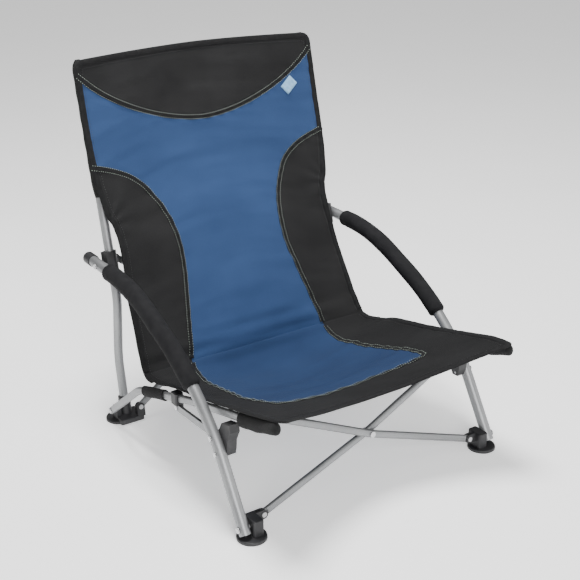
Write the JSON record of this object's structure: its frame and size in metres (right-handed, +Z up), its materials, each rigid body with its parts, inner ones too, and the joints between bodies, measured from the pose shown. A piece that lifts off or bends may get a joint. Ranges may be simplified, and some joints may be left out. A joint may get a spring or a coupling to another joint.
{
  "type": "folding camp chair",
  "caption": "Low folding camp chair: cloth sling on a bent-tube frame, curved padded armrests that run on as front legs, crossed bars front and rear, disc feet.",
  "frame": {"origin": "on the floor, under the centre of the chair's whole outline", "axes": "+Z up; the sitter faces -Y; +X is to the right for someone looking at the front, and left and right in names mean that"},
  "size_m": [0.537, 0.6217, 0.6501],
  "materials": {
    "frame_silver": "satin",
    "bar_silver": "satin",
    "black_plastic": "fine grain",
    "black_foam": "matt closed-cell foam",
    "rivet_steel": "zinc plated",
    "back_cloth": "woven polyester",
    "seat_cloth": "woven polyester",
    "black_webbing": "ribbed webbing"
  },
  "bodies": {
    "rear_left": {"rear_foot_left": "black_plastic", "post_socket_left": "black_plastic", "back_post_left": "frame_silver", "post_plug_left": "black_plastic", "rear_foot_pin_left": "rivet_steel", "rail_axle_left": "rivet_steel", "sling_back": "back_cloth"},
    "arm_bracket_left": {"arm_bracket_left": "black_plastic"},
    "arm_leg_left": {"arm_leg_tube_left": "frame_silver", "arm_foam_left": "black_foam", "arm_cap_left": "black_plastic", "arm_axle_left": "rivet_steel", "leg_bracket_left": "black_plastic", "leg_rivets_left": "rivet_steel", "link_pin_left": "rivet_steel"},
    "front_foot_left": {"front_foot_left": "black_plastic", "front_foot_pin_left": "rivet_steel", "leg_axle_left": "rivet_steel"},
    "rail_left": {"seat_rail_left": "frame_silver", "rail_plug_left": "black_plastic", "rail_sleeve_left": "black_webbing", "rail_clip_left": "black_plastic", "clip_rivet_left": "rivet_steel"},
    "side_link_left": {"side_link_left": "bar_silver", "link_rivet_left": "rivet_steel"},
    "rear_right": {"rear_foot_right": "black_plastic", "post_socket_right": "black_plastic", "back_post_right": "frame_silver", "post_plug_right": "black_plastic", "rear_foot_pin_right": "rivet_steel", "rail_axle_right": "rivet_steel"},
    "arm_bracket_right": {"arm_bracket_right": "black_plastic"},
    "arm_leg_right": {"arm_leg_tube_right": "frame_silver", "arm_foam_right": "black_foam", "arm_cap_right": "black_plastic", "arm_axle_right": "rivet_steel", "leg_bracket_right": "black_plastic", "leg_rivets_right": "rivet_steel", "link_pin_right": "rivet_steel"},
    "front_foot_right": {"front_foot_right": "black_plastic", "front_foot_pin_right": "rivet_steel", "leg_axle_right": "rivet_steel"},
    "rail_right": {"seat_rail_right": "frame_silver", "rail_plug_right": "black_plastic", "rail_sleeve_right": "black_webbing", "rail_clip_right": "black_plastic", "clip_rivet_right": "rivet_steel"},
    "side_link_right": {"side_link_right": "bar_silver", "link_rivet_right": "rivet_steel"},
    "rear_bar_a": {"rear_cross_bar_a": "bar_silver", "rear_middle_rivet": "rivet_steel"},
    "rear_bar_b": {"rear_cross_bar_b": "bar_silver"},
    "front_bar_a": {"front_cross_bar_a": "bar_silver", "front_middle_rivet": "rivet_steel"},
    "front_bar_b": {"front_cross_bar_b": "bar_silver"},
    "seat_sling": {"sling_seat": "seat_cloth"}
  },
  "joints": [
    {"name": "fold", "type": "hinge", "parent": "rear_left", "child": "rear_bar_a", "pos_m": [-0.21, 0.18736, 0.02595], "axis": [0, -0.9874, 0.158], "range_deg": [0, 47.06], "deforming": ["sling_back", "sling_seat"]},
    {"name": "rear_scissor", "type": "hinge", "parent": "rear_bar_a", "child": "rear_bar_b", "pos_m": [0, 0.2094, 0.1637], "axis": [0, -0.9874, 0.158], "range_deg": [-94.13, 0]},
    {"name": "rear_right_foot_pivot", "type": "hinge", "parent": "rear_bar_b", "child": "rear_right", "pos_m": [0.21, 0.18736, 0.02595], "axis": [0, -0.9874, 0.158], "range_deg": [0, 47.08]},
    {"name": "arm_slide_left", "type": "slide", "parent": "rear_left", "child": "arm_bracket_left", "axis": [0, 0.2361, 0.9717], "range_m": [0, 0.22911]},
    {"name": "rail_pivot_left", "type": "hinge", "parent": "rear_left", "child": "rail_left", "pos_m": [-0.2565, 0.2004, 0.024], "axis": [-1, 0, 0], "range_deg": [0, 59.19]},
    {"name": "arm_slide_right", "type": "slide", "parent": "rear_right", "child": "arm_bracket_right", "axis": [0, 0.2361, 0.9717], "range_m": [0, 0.22911]},
    {"name": "rail_pivot_right", "type": "hinge", "parent": "rear_right", "child": "rail_right", "pos_m": [0.2565, 0.2004, 0.024], "axis": [-1, 0, 0], "range_deg": [0, 59.19]},
    {"name": "arm_pivot_left", "type": "hinge", "parent": "arm_bracket_left", "child": "arm_leg_left", "pos_m": [-0.2535, 0.2154, 0.303], "axis": [1, 0, 0], "range_deg": [0, 37.81]},
    {"name": "leg_pivot_left", "type": "hinge", "parent": "arm_leg_left", "child": "front_foot_left", "pos_m": [-0.2535, -0.2446, 0.02], "axis": [1, 0, 0], "range_deg": [-37.81, 0]},
    {"name": "front_left_foot_pivot", "type": "hinge", "parent": "front_foot_left", "child": "front_bar_a", "pos_m": [-0.21, -0.23658, 0.02403], "axis": [0, -0.9929, 0.1191], "range_deg": [0, 59.9]},
    {"name": "front_scissor", "type": "hinge", "parent": "front_bar_a", "child": "front_bar_b", "pos_m": [0, -0.2277, 0.098], "axis": [0, -0.9929, 0.1191], "range_deg": [-119.78, 0]},
    {"name": "front_right_foot_pivot", "type": "hinge", "parent": "front_bar_b", "child": "front_foot_right", "pos_m": [0.21, -0.23658, 0.02403], "axis": [0, -0.9929, 0.1191], "range_deg": [0, 59.9]},
    {"name": "leg_pivot_right", "type": "hinge", "parent": "front_foot_right", "child": "arm_leg_right", "pos_m": [0.2535, -0.2446, 0.02], "axis": [1, 0, 0], "range_deg": [0, 37.81]},
    {"name": "link_pivot_left", "type": "hinge", "parent": "arm_leg_left", "child": "side_link_left", "pos_m": [-0.238, -0.1506, 0.13], "axis": [1, 0, 0], "range_deg": [0, 13.2]},
    {"name": "link_pivot_right", "type": "hinge", "parent": "arm_leg_right", "child": "side_link_right", "pos_m": [0.238, -0.1506, 0.13], "axis": [1, 0, 0], "range_deg": [0, 13.2]},
    {"name": "seat_fold", "type": "hinge", "parent": "rear_left", "child": "seat_sling", "pos_m": [0, 0.0964, 0.132], "axis": [-1, 0, 0], "range_deg": [0, 79.02]}
  ],
  "couplings": [
    {"joint": "rear_scissor", "follows": "fold", "ratio": -2},
    {"joint": "rear_right_foot_pivot", "follows": "fold", "ratio": 1},
    {"joint": "arm_slide_left", "follows": "fold", "m_per_rad": 0.27884},
    {"joint": "rail_pivot_left", "follows": "fold", "ratio": 1.2575},
    {"joint": "arm_slide_right", "follows": "fold", "m_per_rad": 0.27884},
    {"joint": "rail_pivot_right", "follows": "fold", "ratio": 1.2575},
    {"joint": "arm_pivot_left", "follows": "fold", "ratio": 0.80317},
    {"joint": "leg_pivot_left", "follows": "fold", "ratio": -0.80317},
    {"joint": "front_left_foot_pivot", "follows": "fold", "ratio": 1.2725},
    {"joint": "front_scissor", "follows": "fold", "ratio": -2.5449},
    {"joint": "front_right_foot_pivot", "follows": "fold", "ratio": 1.2725},
    {"joint": "leg_pivot_right", "follows": "fold", "ratio": 0.80317},
    {"joint": "link_pivot_left", "follows": "fold", "ratio": 0.28017},
    {"joint": "link_pivot_right", "follows": "fold", "ratio": 0.28017},
    {"joint": "seat_fold", "follows": "fold", "ratio": 1.6788}
  ]
}
